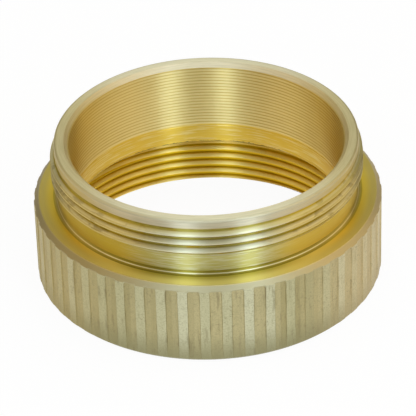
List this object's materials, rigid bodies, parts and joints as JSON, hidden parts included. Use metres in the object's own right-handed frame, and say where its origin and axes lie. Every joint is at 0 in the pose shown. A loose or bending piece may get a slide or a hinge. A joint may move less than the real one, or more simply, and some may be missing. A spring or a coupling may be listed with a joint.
{
  "type": "male to female thread adapter",
  "caption": "Short brass ring adapter with a male thread and a plain bore above a knurled collar that holds a female thread.",
  "frame": {"origin": "centre of the collar's bottom face, on the axis of both threads", "axes": "+Z along the axis, from the female thread towards the male thread"},
  "size_m": [0.028, 0.028, 0.012],
  "materials": {
    "brass": "turned, unpolished"
  },
  "bodies": {
    "root": {"adapter_body": "brass"}
  },
  "joints": []
}
